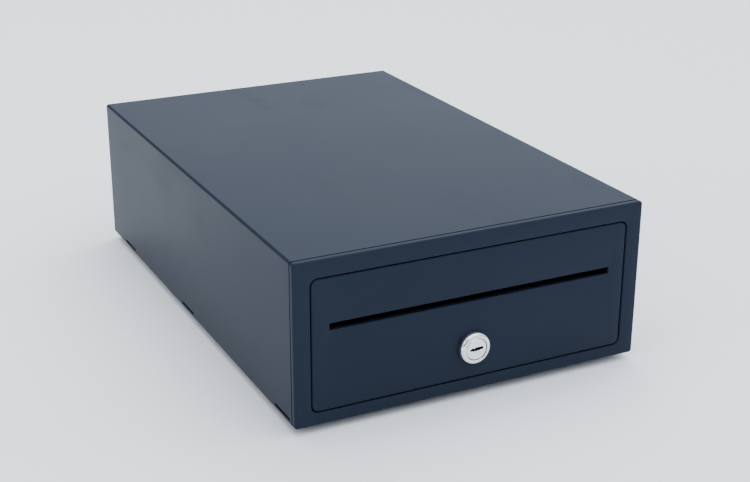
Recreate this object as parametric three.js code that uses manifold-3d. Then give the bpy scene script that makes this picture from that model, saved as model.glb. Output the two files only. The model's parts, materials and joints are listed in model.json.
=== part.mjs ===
// A compact steel cash drawer: sheet steel case, ball-bearing drawer, lift-out till, key lock and
// an electric latch. Millimetres, +Z up, the front faces -Y, the origin is under the middle of the
// whole drawer on the surface that its feet stand on.

import * as THREE from 'three';
import { mergeVertices } from 'three/addons/utils/BufferGeometryUtils.js';
import Module from 'manifold-3d';

const wasm = await Module();
wasm.setup();

// ---- driving dimensions ---------------------------------------------------------------------

const WIDTH = 240;
const DEPTH = 360; // front face to rear face, without the lock
const HEIGHT = 105; // case, without the feet
const FOOT_HEIGHT = 5;
const LOCK_PROUD = 5;
const SHEET = 1.2;
const CLEAR = 0.3; // kept between pieces that touch

const HALF_WIDTH = WIDTH / 2;
const FRONT = LOCK_PROUD - (DEPTH + LOCK_PROUD) / 2;
const REAR = FRONT + DEPTH;
const BASE = FOOT_HEIGHT;
const TOP = BASE + HEIGHT;
const CASE_BEND = 2;
const BEND_STEPS = 6;

// Cover, base pan and the two end frames
const BEZEL_FACE = 1.5;
const BEZEL_RIM = 3.5;
const SEAM = 1.2;
const HEM = 14;
const COVER_FRONT = FRONT + BEZEL_RIM + SEAM;
const COVER_REAR = REAR - SHEET - CLEAR;
const WALL_SIDE = HALF_WIDTH - SHEET - CLEAR;
const COLLAR_INSET = 2.1;
const COLLAR_SIDE = HALF_WIDTH - COLLAR_INSET;
const COLLAR_TOP = TOP - COLLAR_INSET;
const COLLAR_BOTTOM = BASE + 4.5;
const COLLAR_DEPTH = 14.5;
const PAN_BOTTOM = BASE + 3;
const PAN_TOP = PAN_BOTTOM + SHEET;
const SLOT_STARTS = [7.4, 174.5, 305.5]; // from the front face
const SLOT_LENGTH = 22.5;
const SLOT_BOTTOM = BASE + 2.7;
const SLOT_TOP = BASE + 4.5;
const NOTCH = { from: 69.2, length: 0.9, top: BASE + 3.4 }; // an index nick in each bottom edge
const FASTENER = { shank: 1.6, hole: 1.9, head: 3.2 };

// Drawer front and its opening in the bezel
const OPENING = { side: 109.2, bottom: 12.9, top: 98.7, radius: 5 };
const FRONT_GAP = 0.9;
const MEDIA_SLOT = { side: 97, bottom: 64.7, top: 69.1 };
const LOCK_X = -1;
const LOCK_Z = 34.6;

// Drawer tray and till
const TRAY = { side: 103.5, wall: 1, bottom: 15, top: 88, front: FRONT + 8.8, rear: 132, frontTop: 62 };
const TILL = { side: 101.5, wall: 2, bottom: 20, top: 90.4, front: -131, rear: 127, coinRear: -43 };
const NOTE_BAYS = 3;
const COIN_CUPS = 4;

// Slides
const SLIDE_Z = 38;
const OUTER_RAIL = { back: 111.2, lip: 106, half: 15, front: -168, rear: 170 };
const INNER_RAIL = { back: 103.8, lip: 108.5, half: 10, front: -166, rear: 165 };
const CAGE = { back: 109.6, lip: 105.6, wall: 0.7, half: 12.3, front: -39, rear: 31 };

// Note clips
const CLIP_AXLE = { y: 108, z: 80, radius: 2, bore: 2.3 };
const CLIP_ARM = 68;
const CLIP_REST = THREE.MathUtils.degToRad(51);

// Lock, release lever and latch
const LOCK = { flange: 10.65, face: 8.1, barrel: 9, bore: 7.4, plug: 7.1, rear: -152, throw: 10.8 };
const LEVER = { y: -5, bottom: 16.6, thickness: 1.6, width: 10 };
const LATCH = { x: -14, y: 170, bottom: 29, thickness: 2.5, swing: THREE.MathUtils.degToRad(25) };
const LINK_REACH = 14.53; // from the latch's pivot to the plunger's pin
const LINK = { x: LINK_REACH * Math.sin(LATCH.swing / 2), y: -LINK_REACH * Math.cos(LATCH.swing / 2) };
const STRIKE_Y = 146;
const SOLENOID = { y: 155.8, z: 36, rear: -72, front: -34 };
const MECHANISM_PLATE = 25.5;
const PLATE = 1.5; // sheet of the latch bracket and the other small brackets
const MECHANISM_TOP = MECHANISM_PLATE + PLATE;
const FLANGE = [PAN_TOP + CLEAR, PAN_TOP + CLEAR + PLATE];

// ---- shaping ---------------------------------------------------------------------------------

function toSolid(geometry) {
  const bare = geometry.clone();
  bare.deleteAttribute('normal');
  bare.deleteAttribute('uv');
  const merged = mergeVertices(bare, 1e-4);
  return new wasm.Manifold(new wasm.Mesh({
    numProp: 3,
    vertProperties: new Float32Array(merged.attributes.position.array),
    triVerts: new Uint32Array(merged.index.array),
  }));
}

function toGeometry(solid) {
  const { vertProperties, triVerts } = solid.getMesh();
  const geometry = new THREE.BufferGeometry();
  geometry.setAttribute('position', new THREE.BufferAttribute(new Float32Array(vertProperties), 3));
  geometry.setIndex(new THREE.BufferAttribute(new Uint32Array(triVerts), 1));
  geometry.computeVertexNormals();
  return geometry;
}

function join(...pieces) {
  return toGeometry(pieces.map(toSolid).reduce((whole, piece) => whole.add(piece)));
}

function cut(body, ...tools) {
  return toGeometry(tools.map(toSolid).reduce((whole, tool) => whole.subtract(tool), toSolid(body)));
}

function block([x0, x1], [y0, y1], [z0, z1]) {
  const box = new THREE.BoxGeometry(x1 - x0, y1 - y0, z1 - z0);
  return box.translate((x0 + x1) / 2, (y0 + y1) / 2, (z0 + z1) / 2);
}

function polygon(points) {
  return new THREE.Shape(points.map(([u, v]) => new THREE.Vector2(u, v)));
}

function disc(u, v, radius) {
  return new THREE.Shape().absarc(u, v, radius, 0, 2 * Math.PI);
}

function roundedRectangle([u0, u1], [v0, v1], radius) {
  const outline = new THREE.Shape();
  outline.absarc(u1 - radius, v0 + radius, radius, -Math.PI / 2, 0);
  outline.absarc(u1 - radius, v1 - radius, radius, 0, Math.PI / 2);
  outline.absarc(u0 + radius, v1 - radius, radius, Math.PI / 2, Math.PI);
  outline.absarc(u0 + radius, v0 + radius, radius, Math.PI, 1.5 * Math.PI);
  return outline;
}

// An outline drawn in (y, z), (x, z) or (x, y) is drawn out along x, y or z.
const AXES = {
  x: [new THREE.Vector3(0, 1, 0), new THREE.Vector3(0, 0, 1), new THREE.Vector3(1, 0, 0)],
  y: [new THREE.Vector3(1, 0, 0), new THREE.Vector3(0, 0, 1), new THREE.Vector3(0, -1, 0)],
  z: [new THREE.Vector3(1, 0, 0), new THREE.Vector3(0, 1, 0), new THREE.Vector3(0, 0, 1)],
};

function drawOut(outline, axis, [from, to], curveSegments = 2) {
  const solid = new THREE.ExtrudeGeometry(outline, { depth: to - from, bevelEnabled: false, curveSegments });
  solid.applyMatrix4(new THREE.Matrix4().makeBasis(...AXES[axis]));
  const start = { x: [from, 0, 0], y: [0, to, 0], z: [0, 0, from] }[axis];
  return solid.translate(...start);
}

function rod(axis, [u, v], radius, span, sides = 16) {
  return drawOut(disc(u, v, radius), axis, span, sides / 2); // a full circle gets two per segment
}

function ring(outer, inner, span, curveSegments) {
  const [from, to] = span;
  const bore = drawOut(inner, 'y', [from - 1, to + 1], curveSegments);
  return cut(drawOut(outer, 'y', span, curveSegments), bore);
}

// A closed outline in (radius, distance) is turned about an axis along y.
function turnedAboutY(points, [x, z], sides) {
  const outline = points.map(([radius, along]) => new THREE.Vector2(radius, along));
  return new THREE.LatheGeometry([...outline, outline[0]], sides).translate(x, 0, z);
}

// ---- case --------------------------------------------------------------------------------------

const slotSpans = SLOT_STARTS.map((start) => [FRONT + start, FRONT + start + SLOT_LENGTH]);
const coverScrews = [[-111, -120], [111, -120], [-111, 120], [111, 120]];
const feet = [[-92, -150], [92, -150], [-92, 150], [92, 150]];

function cover() {
  const length = [COVER_FRONT, COVER_REAR];
  const outside = roundedRectangle([-HALF_WIDTH, HALF_WIDTH], [BASE, TOP], CASE_BEND);
  const inside = roundedRectangle(
    [SHEET - HALF_WIDTH, HALF_WIDTH - SHEET], [BASE + SHEET, TOP - SHEET], CASE_BEND - SHEET);
  const mouth = block([HEM - HALF_WIDTH, HALF_WIDTH - HEM], [FRONT, REAR], [BASE - 1, BASE + 2]);
  const slots = slotSpans.flatMap((span) => [-1, 1].map((side) => block(
    [side * HALF_WIDTH - 2, side * HALF_WIDTH + 2], span, [SLOT_BOTTOM, SLOT_TOP])));
  const notches = [-1, 1].map((side) => block(
    [side * HALF_WIDTH - 2, side * HALF_WIDTH + 2], [FRONT + NOTCH.from, FRONT + NOTCH.from + NOTCH.length],
    [BASE - 1, NOTCH.top]));
  const holes = coverScrews.map((at) => rod('z', at, FASTENER.hole, [BASE - 1, BASE + 2], 12));
  return cut(ring(outside, inside, length, BEND_STEPS), mouth, ...slots, ...notches, ...holes);
}

function basePan() {
  const side = WALL_SIDE - 0.2;
  const plate = block([-side, side], [FRONT + 2.1, COVER_REAR - 0.2], [PAN_BOTTOM, PAN_TOP]);
  const tabs = slotSpans.map(([from, to]) => block(
    [-HALF_WIDTH + 1.1, HALF_WIDTH - 1.1], [from + 0.5, to - 0.5], [PAN_BOTTOM, PAN_TOP]));
  const footHoles = feet.map((at) => rod('z', at, 2.4, [PAN_BOTTOM - 1, PAN_TOP + 1], 12));
  const screwHoles = coverScrews.map((at) => rod('z', at, FASTENER.hole, [PAN_BOTTOM - 1, PAN_TOP + 1], 12));
  return cut(join(plate, ...tabs), ...footHoles, ...screwHoles);
}

function collar(from, to) {
  const outside = roundedRectangle([-COLLAR_SIDE, COLLAR_SIDE], [COLLAR_BOTTOM, COLLAR_TOP], 1.4);
  const inside = roundedRectangle(
    [SHEET - COLLAR_SIDE, COLLAR_SIDE - SHEET], [COLLAR_BOTTOM + SHEET, COLLAR_TOP - SHEET], 0.4);
  return ring(outside, inside, [from, to]);
}

function rearPanel() {
  const outline = roundedRectangle([-HALF_WIDTH, HALF_WIDTH], [BASE, TOP], CASE_BEND);
  const plate = drawOut(outline, 'y', [REAR - SHEET, REAR], BEND_STEPS);
  const socketWindow = block([-60, -46], [REAR - 5, REAR + 5], [51, 64]);
  return cut(join(plate, collar(REAR - SHEET - COLLAR_DEPTH, REAR - SHEET / 2)), socketWindow);
}

function frontBezel() {
  const rim = [FRONT, FRONT + BEZEL_RIM];
  const outline = roundedRectangle([-HALF_WIDTH, HALF_WIDTH], [BASE, TOP], CASE_BEND);
  const recess = block(
    [BEZEL_FACE - HALF_WIDTH, HALF_WIDTH - BEZEL_FACE], [FRONT + BEZEL_FACE, FRONT + 10],
    [BASE + BEZEL_FACE, TOP - BEZEL_FACE]);
  const face = cut(drawOut(outline, 'y', rim), recess);
  const spigot = collar(FRONT + BEZEL_FACE / 2, FRONT + COLLAR_DEPTH);
  const { side, bottom, top, radius } = OPENING;
  const lip = drawOut(
    roundedRectangle([-side - SHEET, side + SHEET], [bottom - SHEET, top + SHEET], radius + SHEET),
    'y', [FRONT + BEZEL_FACE / 2, FRONT + 7.5]);
  const mouth = roundedRectangle([-side, side], [bottom, top], radius);
  const opening = drawOut(mouth, 'y', [FRONT - 1, FRONT + 20]);
  return cut(join(face, spigot, lip), opening);
}

// The hat-shaped bracket that carries a slide off the case's side wall.
function railBracket(side) {
  const wall = WALL_SIDE - 0.2;
  const inner = OUTER_RAIL.back + CLEAR;
  const [low, high, ear] = [SLIDE_Z - 14, SLIDE_Z + 14, 6];
  const section = [
    [wall, low - ear], [wall, low + SHEET], [inner + SHEET, low + SHEET], [inner + SHEET, high - SHEET],
    [wall, high - SHEET], [wall, high + ear], [wall - SHEET, high + ear], [wall - SHEET, high],
    [inner, high], [inner, low], [wall - SHEET, low], [wall - SHEET, low - ear],
  ];
  return drawOut(polygon(section.map(([x, z]) => [side * x, z])), 'y', [-160, 162]);
}

function channel({ back, lip, half, front, rear }, wall, side) {
  const turn = Math.sign(lip - back);
  const section = [
    [back, SLIDE_Z - half], [lip, SLIDE_Z - half], [lip, SLIDE_Z - half + wall],
    [back + turn * wall, SLIDE_Z - half + wall], [back + turn * wall, SLIDE_Z + half - wall],
    [lip, SLIDE_Z + half - wall], [lip, SLIDE_Z + half], [back, SLIDE_Z + half],
  ];
  return drawOut(polygon(section.map(([x, z]) => [side * x, z])), 'y', [front, rear]);
}

function rubberFoot(at) {
  const body = join(rod('z', at, 10, [0, 5.2], 20), rod('z', at, 8.5, [5, PAN_BOTTOM - CLEAR], 20));
  return cut(body, rod('z', at, 2.4, [-1, 10], 12), rod('z', at, 5, [-1, 5.2], 16));
}

function screwUp(at, seat, tip, shank, head) {
  return join(rod('z', at, head, [seat - 1.6, seat], 14), rod('z', at, shank, [seat - 0.2, tip], 10));
}

// ---- latch, solenoid and switch on the case ------------------------------------------------------

function latchBracket() {
  const plate = block([-80, 14], [158, 180], [MECHANISM_PLATE, MECHANISM_TOP]);
  const shelf = block([-80, -28], [146, 160], [MECHANISM_PLATE, MECHANISM_TOP]);
  const leg = block([-80, 14], [164.3, 165.8], [PAN_TOP + CLEAR, MECHANISM_TOP]);
  const flange = block([-80, 14], [150, 165.8], FLANGE);
  const arm = block([8.6, 12.5], [146, 160], [MECHANISM_PLATE, MECHANISM_TOP]);
  const lockPost = block([4.5, 12.5], [146, 149], [MECHANISM_PLATE, 34]);
  return join(plate, shelf, leg, flange, arm, lockPost);
}

function latchPivot() {
  const at = [LATCH.x, LATCH.y];
  const foot = MECHANISM_TOP + CLEAR;
  return join(
    rod('z', at, 4.5, [foot, LATCH.bottom - CLEAR]),
    rod('z', at, 2.5, [foot, 33.4]),
    rod('z', at, 4.5, [32, 33.4]));
}

function solenoidFrame() {
  const { y, z, rear, front } = SOLENOID;
  const bottom = MECHANISM_TOP + CLEAR;
  const floor = block([rear - 2.5, front + 4], [y - 8, y + 8], [bottom, bottom + 0.6]);
  const ends = [rear - 2.5, front + 2.5].map((x) => block([x, x + PLATE], [y - 8, y + 8], [bottom, z + 9]));
  return cut(join(floor, ...ends), rod('x', [y, z], 4, [rear - 5, front + 5]));
}

function solenoidCoil() {
  const { y, z, rear, front } = SOLENOID;
  const body = join(
    rod('x', [y, z], 7.3, [rear, front + 1], 20),
    rod('x', [y, z], 7.8, [rear, rear + 2], 20),
    rod('x', [y, z], 7.8, [front - 1, front + 1], 20));
  return cut(body, rod('x', [y, z], 4, [rear - 1, front + 2]));
}

function switchBody() {
  const body = block([26, 46], [148, 158], [PAN_TOP + CLEAR, 30]);
  const holes = [31, 41].map((x) => rod('y', [x, 15], 1.5, [140, 165], 10));
  return cut(body, ...holes, block([24, 29.5], [146, 151.5], [22, 32]));
}

function kickPost() {
  return join(
    rod('y', [60, 40], 3, [136, 165], 14),
    block([52, 68], [164, 165.8], [PAN_TOP + CLEAR, 48]),
    block([52, 68], [146, 165.8], FLANGE));
}

function kickSpring() {
  return cut(rod('y', [60, 40], 6.5, [133.5, 163.5]), rod('y', [60, 40], 4.2, [130, 170]));
}

function cableSocket() {
  const body = block([-61, -45], [166, REAR - SHEET - CLEAR], [49, 66]);
  const mouth = block([-58.5, -47.5], [168, REAR + 1], [53, 61]);
  const key = block([-56, -50], [172, REAR + 1], [60, 63.5]);
  return cut(body, mouth, key);
}

// The leads from the socket to the solenoid lie along the rear of the case.
function wireHarness() {
  const route = new THREE.CatmullRomCurve3([
    [-53, 165, 57], [-53, 161, 57], [-57, 154, 55], [-62, 150, 50], [-66, 152, 46], [-67, 155, 44.6],
  ].map((point) => new THREE.Vector3(...point)));
  const section = disc(0, 0, 1.2);
  return new THREE.ExtrudeGeometry(section, { steps: 14, extrudePath: route, curveSegments: 4 });
}

// ---- drawer ---------------------------------------------------------------------------------------

function drawerFront() {
  const side = OPENING.side - FRONT_GAP;
  const [bottom, top] = [OPENING.bottom + FRONT_GAP, OPENING.top - FRONT_GAP];
  const radius = OPENING.radius - FRONT_GAP;
  const face = FRONT + 0.2;
  const outside = roundedRectangle([-side, side], [bottom, top], radius);
  const inside = roundedRectangle(
    [SHEET - side, side - SHEET], [bottom + SHEET, top - SHEET], radius - SHEET);
  const pan = cut(
    drawOut(outside, 'y', [face, FRONT + 8.5]), drawOut(inside, 'y', [face + SHEET + CLEAR, FRONT + 10]));
  const slot = block(
    [-MEDIA_SLOT.side, MEDIA_SLOT.side], [FRONT - 1, FRONT + 5], [MEDIA_SLOT.bottom, MEDIA_SLOT.top]);
  return cut(pan, slot, rod('y', [LOCK_X, LOCK_Z], LOCK.barrel + 0.4, [FRONT - 1, FRONT + 5], 20));
}

function drawerTray() {
  const { side, wall, bottom, top, front, rear, frontTop } = TRAY;
  const box = block([-side, side], [front, rear], [bottom, top]);
  const inside = block([wall - side, side - wall], [front + wall, rear - wall], [bottom + wall, top + 1]);
  const lowFront = block([wall - side, side - wall], [front - 1, front + 2], [frontTop, top + 1]);
  const lockHole = rod('y', [LOCK_X, LOCK_Z], LOCK.barrel + 0.4, [front - 1, front + 2], 20);
  const leverSlot = block([-17, 15], [rear - 2, rear + 1], [bottom + wall + 0.2, 19.4]);
  return cut(box, inside, lowFront, lockHole, leverSlot);
}

function tillInsert() {
  const { side, wall, bottom, top, front, rear, coinRear } = TILL;
  const inner = side - wall;
  const bay = (2 * inner - (NOTE_BAYS - 1) * wall) / NOTE_BAYS;
  const box = block([-side, side], [front, rear], [bottom, top]);
  const runners = [-82, 82].map((x) => block([x - 3, x + 3], [-120, 118], [TRAY.bottom + 1.3, bottom + 1]));
  const bays = Array.from({ length: NOTE_BAYS }, (_, i) => {
    const start = -inner + i * (bay + wall);
    return block([start, start + bay], [coinRear + wall, rear - wall], [bottom + wall, top + 1]);
  });
  const coinPocket = block([-inner, inner], [front + wall, coinRear], [bottom + wall, top + 1]);
  const axleBore = rod('x', [CLIP_AXLE.y, CLIP_AXLE.z], CLIP_AXLE.bore, [-inner - 1.1, inner + 1.1], 12);
  return cut(join(box, ...runners), ...bays, coinPocket, axleBore);
}

function coinTray() {
  const side = TILL.side - TILL.wall - CLEAR;
  const [front, rear] = [TILL.front + TILL.wall + CLEAR, TILL.coinRear - CLEAR];
  const wall = 2;
  const cup = (2 * side - (COIN_CUPS + 1) * wall) / COIN_CUPS;
  const [floor, top, scoop] = [TILL.bottom + TILL.wall + CLEAR, 88, 30];
  const [low, high] = [floor + 4, top + 1];
  const hollow = new THREE.Shape();
  hollow.moveTo(front + wall, high);
  hollow.lineTo(front + wall, low + scoop);
  hollow.absarc(front + wall + scoop, low + scoop, scoop, Math.PI, 1.5 * Math.PI);
  hollow.absarc(rear - wall - scoop, low + scoop, scoop, 1.5 * Math.PI, 2 * Math.PI);
  hollow.lineTo(rear - wall, high);
  const cups = Array.from({ length: COIN_CUPS }, (_, i) => {
    const start = -side + wall + i * (cup + wall);
    return drawOut(hollow, 'x', [start, start + cup], 3);
  });
  return cut(block([-side, side], [front, rear], [floor, top]), ...cups);
}

function clipAxle() {
  const end = TILL.side - TILL.wall + 0.8;
  return rod('x', [CLIP_AXLE.y, CLIP_AXLE.z], CLIP_AXLE.radius, [-end, end], 12);
}

const clipCentres = [-1, 0, 1].map((place) => place * 67);

function clipSpring(x) {
  const at = [CLIP_AXLE.y, CLIP_AXLE.z];
  return cut(rod('x', at, 4, [x + 9, x + 21]), rod('x', at, CLIP_AXLE.bore, [x + 8, x + 22]));
}

// A note clip about its own axle: a bored hub, a broad spring arm and a rolled toe.
function noteClip() {
  const hub = rod('x', [0, 0], 4, [-8, 8]);
  const arm = block([-7, 7], [-CLIP_ARM + 4, 0], [2, 3.2]);
  const toe = rod('x', [-CLIP_ARM + 4, 0.6], 2.6, [-12, 12], 12);
  return cut(join(hub, arm, toe), rod('x', [0, 0], CLIP_AXLE.bore, [-20, 20]));
}

// ---- lock -------------------------------------------------------------------------------------------

// The pieces of the lock are drawn about its own axis, with y measured along the drawer.
function lockHousing() {
  const [face, seat] = [FRONT - LOCK_PROUD, FRONT - 0.1];
  return turnedAboutY([
    [LOCK.bore, LOCK.rear], [LOCK.barrel, LOCK.rear], [LOCK.barrel, seat], [LOCK.flange, seat],
    [LOCK.flange, face + 3.6], [LOCK.flange - 0.4, face + 1.9], [LOCK.flange - 1.2, face + 0.6],
    [LOCK.face, face], [LOCK.bore, face],
  ].reverse(), [0, 0], 32);
}

function lockNut() {
  const hexagon = Array.from({ length: 6 }, (_, i) => {
    const turn = (i * Math.PI) / 3;
    return [13.4 * Math.cos(turn), 13.4 * Math.sin(turn)];
  });
  const span = [FRONT + 2.1, FRONT + 6.1];
  const bore = rod('y', [0, 0], LOCK.barrel + CLEAR, [FRONT, FRONT + 10], 20);
  return cut(drawOut(polygon(hexagon), 'y', span), bore);
}

function lockPlug() {
  const barrel = rod('y', [0, 0], LOCK.plug, [FRONT - LOCK_PROUD + 0.2, LOCK.rear + 0.3], 28);
  const tail = block([-2.5, 2.5], [LOCK.rear, LOCK.rear + 4], [-2.5, 2.5]);
  const keyway = block([-4.7, 4.7], [FRONT - LOCK_PROUD - 1, FRONT + 13], [-1.3, 1.3]);
  return cut(join(barrel, tail), keyway);
}

function lockCam() {
  const span = [LOCK.rear + 0.6, LOCK.rear + 2.3];
  const plate = join(
    rod('y', [0, 0], 6, span, 18),
    block([-4, 4], span, [-LOCK.throw, 0]),
    rod('y', [0, -LOCK.throw], 4, span, 14),
    rod('y', [0, -LOCK.throw], 2, [LOCK.rear + 1, LOCK.rear + 8], 12));
  return cut(plate, block([-2.8, 2.8], [LOCK.rear - 1, LOCK.rear + 4], [-2.8, 2.8]));
}

function camScrew() {
  return rod('y', [0, 0], 4, [LOCK.rear + 4.3, LOCK.rear + 6.1], 14);
}

function strikeBracket() {
  const ear = block([-9, 9], [TRAY.rear + CLEAR, 150.5], [36, 37.5]);
  const foot = block([-9, 9], [TRAY.rear + CLEAR, TRAY.rear + CLEAR + PLATE], [36, 62]);
  return join(ear, foot, rod('z', [0, STRIKE_Y], 2.5, [26, 36.5], 14));
}

function leverPivot() {
  const at = [LOCK_X, LEVER.y];
  return join(rod('z', at, 3, [TRAY.bottom + 1.3, 19.5], 12), rod('z', at, 5.5, [18.6, 19.5]));
}

// The release lever about its pivot: a flat strip under the till, a slotted yoke at the front for
// the cam's pin and an upright tab at the rear for the latch and the lock post.
function releaseLever() {
  const [low, high] = [LEVER.bottom, LEVER.bottom + LEVER.thickness];
  const half = LEVER.width / 2;
  const yokeY = LOCK.rear + 6.4 - LEVER.y;
  const tabY = STRIKE_Y + 4.5 - LEVER.y;
  const strip = block([-half, half], [yokeY - 0.8, tabY + 3], [low, high]);
  const yoke = block([-half - 2, half + 2], [yokeY - 0.8, yokeY + 0.8], [low, 30]);
  const tab = block([-2, -0.4], [tabY, tabY + 3], [low, 32.5]);
  return cut(
    join(strip, yoke, tab),
    rod('z', [0, 0], 3.3, [low - 1, high + 1], 12),
    block([-2.6, 2.6], [yokeY - 3, yokeY + 3], [20.5, 31]));
}

// The latch lever about its pivot, in the place where it holds the strike pin.
function latchLever() {
  const span = [LATCH.bottom, LATCH.bottom + LATCH.thickness];
  const arm = polygon([
    [-5, 0], [-1, -20], [2, -27.5], [5, -32], [17, -32], [17, -27.5], [9.5, -27.5], [8, -16], [5, 0],
    [3, 9], [-3, 9],
  ]);
  const body = join(drawOut(arm, 'z', span), rod('z', [0, 0], 6, span, 18));
  return cut(
    body,
    rod('z', [0, 0], 2.8, [span[0] - 1, span[1] + 1], 14),
    rod('z', [LINK.x, LINK.y], 2, [span[0] - 1, span[1] + 1], 12));
}

function latchSpring() {
  return cut(
    rod('x', [177, 30.2], 2, [-50, LATCH.x - 5], 12), rod('x', [177, 30.2], 1.2, [-51, 0], 10));
}

function solenoidPlunger() {
  const { y, z, rear, front } = SOLENOID;
  const pinX = LATCH.x - LINK.x;
  return join(
    rod('x', [y, z], 3.6, [rear + 3, front + 7], 16),
    block([front + 5, pinX + 3], [y - 3, y + 3], [33, 34.6]),
    rod('z', [pinX, y], 1.2, [28.2, 33.4], 10));
}

function switchLever() {
  return join(
    block([-1.1, 1.1], [-3.2, 0], [-0.6, 0.6]),
    block([-1.1, 1.1], [-13.5, -3], [-0.6, 0.6]),
    rod('x', [-13.5, 0], 1.6, [-1.1, 1.1], 12));
}

// ---- materials and the assembly ---------------------------------------------------------------------

function finish(color, roughness, metalness) {
  return new THREE.MeshStandardMaterial({ color, roughness, metalness });
}

const PAINT = finish(0x3b4552, 0.42, 0.25);
const ZINC = finish(0x9a9c9c, 0.4, 0.9);
const CHROME = finish(0xc9ccd0, 0.14, 1);
const SPRING_STEEL = finish(0xa9acad, 0.3, 1);
const BRASS = finish(0xb59a5b, 0.35, 1);
const TILL_PLASTIC = finish(0x17181a, 0.55, 0);
const BLACK_PLASTIC = finish(0x101112, 0.5, 0);
const RUBBER = finish(0x161616, 0.9, 0);
const COPPER = finish(0x9c4f23, 0.4, 0.7);
const WIRE = finish(0x7e1b18, 0.6, 0);

function part(name, geometry, material) {
  const mesh = new THREE.Mesh(geometry, material);
  mesh.name = name;
  return mesh;
}

function group(parts, [x, y, z] = [0, 0, 0]) {
  const holder = new THREE.Group();
  holder.add(...parts);
  holder.position.set(x, y, z);
  return holder;
}

const SIDES = [['left', -1], ['right', 1]];

const caseBody = group([
  part('cover', cover(), PAINT),
  part('base_pan', basePan(), PAINT),
  part('rear_panel', rearPanel(), PAINT),
  part('front_bezel', frontBezel(), PAINT),
  ...SIDES.map(([name, side]) => part(`rail_bracket_${name}`, railBracket(side), ZINC)),
  ...SIDES.map(([name, side]) => part(`outer_rail_${name}`, channel(OUTER_RAIL, SHEET, side), ZINC)),
  ...feet.map((at, i) => part(`rubber_foot_${i + 1}`, rubberFoot(at), RUBBER)),
  ...feet.map((at, i) => part(`foot_screw_${i + 1}`, screwUp(at, 4.9, 12.5, 2, 4.2), ZINC)),
  ...coverScrews.map((at, i) => part(
    `cover_screw_${i + 1}`, screwUp(at, BASE - CLEAR, 12, FASTENER.shank, FASTENER.head), ZINC)),
  part('latch_bracket', latchBracket(), ZINC),
  part('latch_pivot', latchPivot(), ZINC),
  part('solenoid_frame', solenoidFrame(), ZINC),
  part('solenoid_coil', solenoidCoil(), COPPER),
  part('switch_body', switchBody(), BLACK_PLASTIC),
  part('kick_post', kickPost(), ZINC),
  part('kick_spring', kickSpring(), SPRING_STEEL),
  part('cable_socket', cableSocket(), BLACK_PLASTIC),
  part('wire_harness', wireHarness(), WIRE),
  part('latch_spring', latchSpring(), SPRING_STEEL),
]);

const latch = group([part('latch_lever', latchLever(), ZINC)], [LATCH.x, LATCH.y, 0]);
latch.rotation.z = -LATCH.swing; // drawn back by the solenoid, so the drawer is free

const drawer = group([
  part('drawer_front', drawerFront(), PAINT),
  part('drawer_tray', drawerTray(), PAINT),
  ...SIDES.map(([name, side]) => part(`inner_rail_${name}`, channel(INNER_RAIL, SHEET, side), ZINC)),
  part('till_insert', tillInsert(), TILL_PLASTIC),
  part('coin_tray', coinTray(), TILL_PLASTIC),
  part('clip_axle', clipAxle(), SPRING_STEEL),
  ...clipCentres.map((x, i) => part(`clip_spring_${i + 1}`, clipSpring(x), SPRING_STEEL)),
  part('strike_bracket', strikeBracket(), ZINC),
  part('lever_pivot', leverPivot(), ZINC),
]);

const lock = group([
  part('lock_housing', lockHousing(), CHROME),
  part('lock_nut', lockNut(), ZINC),
  part('lock_plug', lockPlug(), CHROME),
  part('lock_cam', lockCam(), ZINC),
  part('cam_screw', camScrew(), ZINC),
], [LOCK_X, 0, LOCK_Z]);

const lever = group([part('release_lever', releaseLever(), ZINC)], [LOCK_X, LEVER.y, 0]);

const cages = SIDES.map(([name, side]) => part(`ball_cage_${name}`, channel(CAGE, CAGE.wall, side), BRASS));

const clips = clipCentres.map((x, i) => {
  const clip = group([part(`note_clip_${i + 1}`, noteClip(), SPRING_STEEL)], [x, CLIP_AXLE.y, CLIP_AXLE.z]);
  clip.rotation.x = CLIP_REST;
  return clip;
});

const cashDrawer = group([
  caseBody,
  latch,
  part('solenoid_plunger', solenoidPlunger(), ZINC),
  group([part('switch_lever', switchLever(), SPRING_STEEL)], [27, 149.5, 26]),
  drawer,
  lock,
  lever,
  ...cages,
  ...clips,
]);

export default cashDrawer;
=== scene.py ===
"""The finished look of a compact steel cash drawer, built around its packed mechanical frame."""

import json
import math
from collections import namedtuple

import bmesh
import bpy
from mathutils import Matrix, Vector


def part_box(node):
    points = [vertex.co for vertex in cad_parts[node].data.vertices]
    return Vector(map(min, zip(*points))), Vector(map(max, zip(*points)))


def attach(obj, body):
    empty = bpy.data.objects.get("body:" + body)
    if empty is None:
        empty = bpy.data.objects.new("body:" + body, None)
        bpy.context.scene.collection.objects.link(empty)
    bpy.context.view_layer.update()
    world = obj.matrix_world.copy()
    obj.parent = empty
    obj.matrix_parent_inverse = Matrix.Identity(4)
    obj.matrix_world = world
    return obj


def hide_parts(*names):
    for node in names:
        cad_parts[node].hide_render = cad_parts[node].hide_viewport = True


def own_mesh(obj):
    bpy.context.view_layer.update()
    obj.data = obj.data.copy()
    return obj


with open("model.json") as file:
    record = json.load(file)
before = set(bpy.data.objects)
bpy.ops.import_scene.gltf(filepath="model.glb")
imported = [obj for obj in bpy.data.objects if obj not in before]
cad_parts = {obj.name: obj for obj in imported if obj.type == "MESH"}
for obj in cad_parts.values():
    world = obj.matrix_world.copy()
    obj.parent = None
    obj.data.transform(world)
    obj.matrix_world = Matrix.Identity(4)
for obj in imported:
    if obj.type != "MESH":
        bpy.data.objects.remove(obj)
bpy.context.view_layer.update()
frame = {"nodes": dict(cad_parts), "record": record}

MM = 0.001
RECORD = frame["record"]
BODY_OF = {node: body for body, nodes in RECORD["behaviour"]["bodies"].items() for node in nodes}
SLOT_OF = {entry["node"]: entry["material_slot"] for entry in RECORD["subparts"]}


def low(node):
    return Vector(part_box(node)[0])


def high(node):
    return Vector(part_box(node)[1])


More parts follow.
